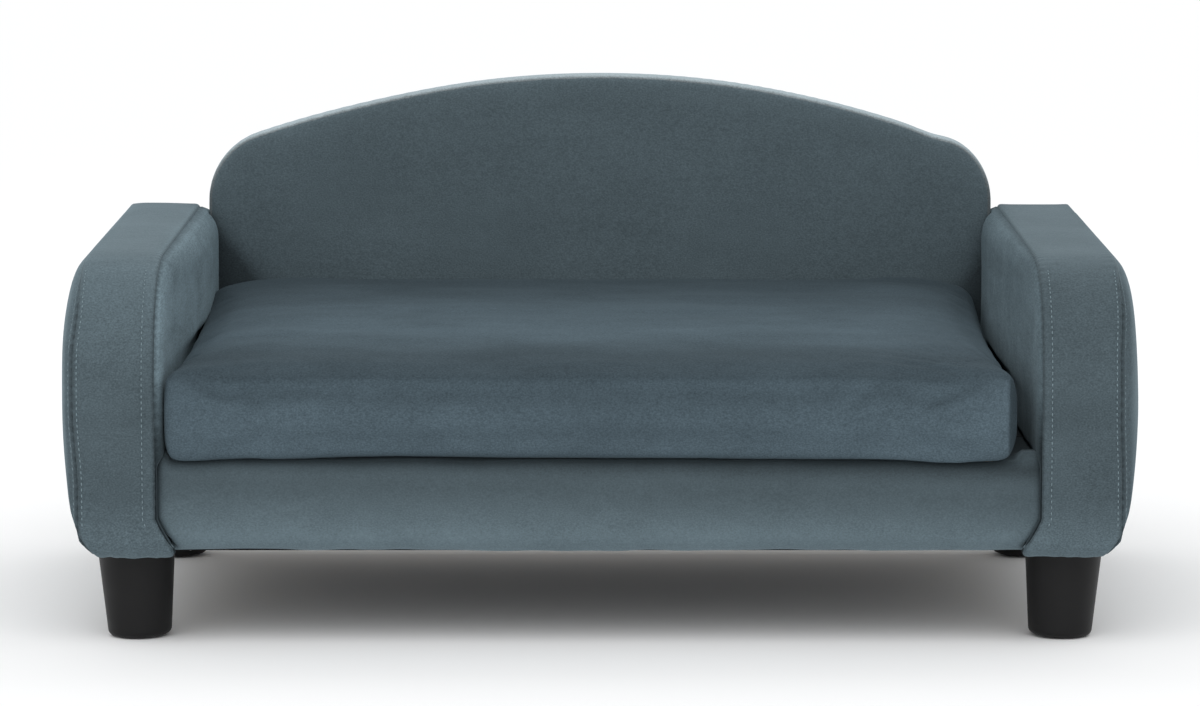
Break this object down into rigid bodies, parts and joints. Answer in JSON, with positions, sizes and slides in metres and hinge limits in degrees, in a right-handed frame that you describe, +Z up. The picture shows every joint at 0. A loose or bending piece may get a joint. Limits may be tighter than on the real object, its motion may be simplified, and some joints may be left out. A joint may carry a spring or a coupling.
{
  "type": "dog sofa bed",
  "caption": "Low velvet pet sofa with padded arms, an arched back, a boxed loose seat cushion and short round black legs.",
  "frame": {"origin": "on the floor, under the middle of the sofa's width and depth", "axes": "+X to the right seen from the front, +Y from the front to the back, +Z up"},
  "size_m": [0.8, 0.5, 0.392],
  "materials": {
    "velvet": "matte",
    "foam": "matte",
    "plywood": "matte",
    "pine": "matte",
    "hardboard": "matte",
    "black_cloth": "matte",
    "black_plastic": "satin",
    "felt": "matte",
    "zinc_steel": "satin",
    "zip_cloth": "matte"
  },
  "bodies": {
    "sofa": {"front_rail": "pine", "rear_rail": "pine", "left_end_rail": "pine", "right_end_rail": "pine", "deck_slats": "pine", "corner_blocks": "pine", "seat_deck": "plywood", "front_foam": "foam", "base_cover": "velvet", "deck_lining": "black_cloth", "dust_cover": "black_cloth", "left_arm_sill": "pine", "left_arm_inner_board": "plywood", "left_arm_outer_board": "plywood", "left_arm_posts": "pine", "left_arm_nosing": "hardboard", "left_arm_foam": "foam", "left_arm_inner_panel": "velvet", "left_arm_outer_panel": "velvet", "left_arm_band": "velvet", "right_arm_sill": "pine", "right_arm_inner_board": "plywood", "right_arm_outer_board": "plywood", "right_arm_posts": "pine", "right_arm_nosing": "hardboard", "right_arm_foam": "foam", "right_arm_inner_panel": "velvet", "right_arm_outer_panel": "velvet", "right_arm_band": "velvet", "back_board": "plywood", "back_front_foam": "foam", "back_rear_foam": "foam", "back_front_panel": "velvet", "back_rear_panel": "velvet", "back_band": "velvet", "front_left_leg": "black_plastic", "front_right_leg": "black_plastic", "rear_left_leg": "black_plastic", "rear_right_leg": "black_plastic", "leg_glides": "felt", "leg_studs": "zinc_steel", "leg_tee_nuts": "zinc_steel", "arm_bolts": "zinc_steel", "arm_washers": "zinc_steel", "arm_tee_nuts": "zinc_steel", "back_bolts": "zinc_steel", "back_washers": "zinc_steel", "back_tee_nuts": "zinc_steel"},
    "cushion": {"cushion_foam": "foam", "cushion_cover": "velvet", "zip_tapes": "zip_cloth", "zip_chain": "black_plastic", "zip_stops": "zinc_steel"},
    "zip_slider": {"zip_slider": "zinc_steel"},
    "zip_pull_tab": {"zip_pull_tab": "zinc_steel"}
  },
  "joints": [
    {"name": "cushion_lift", "type": "slide", "parent": "sofa", "child": "cushion", "axis": [0, 0, 1], "range_m": [0, 0.3]},
    {"name": "zip_slide", "type": "slide", "parent": "cushion", "child": "zip_slider", "axis": [-1, 0, 0], "range_m": [0, 0.5034]},
    {"name": "zip_tab_flip", "type": "hinge", "parent": "zip_slider", "child": "zip_pull_tab", "pos_m": [0.24555, 0.2049, 0.1804], "axis": [0, 0, -1], "range_deg": [0, 15]}
  ]
}
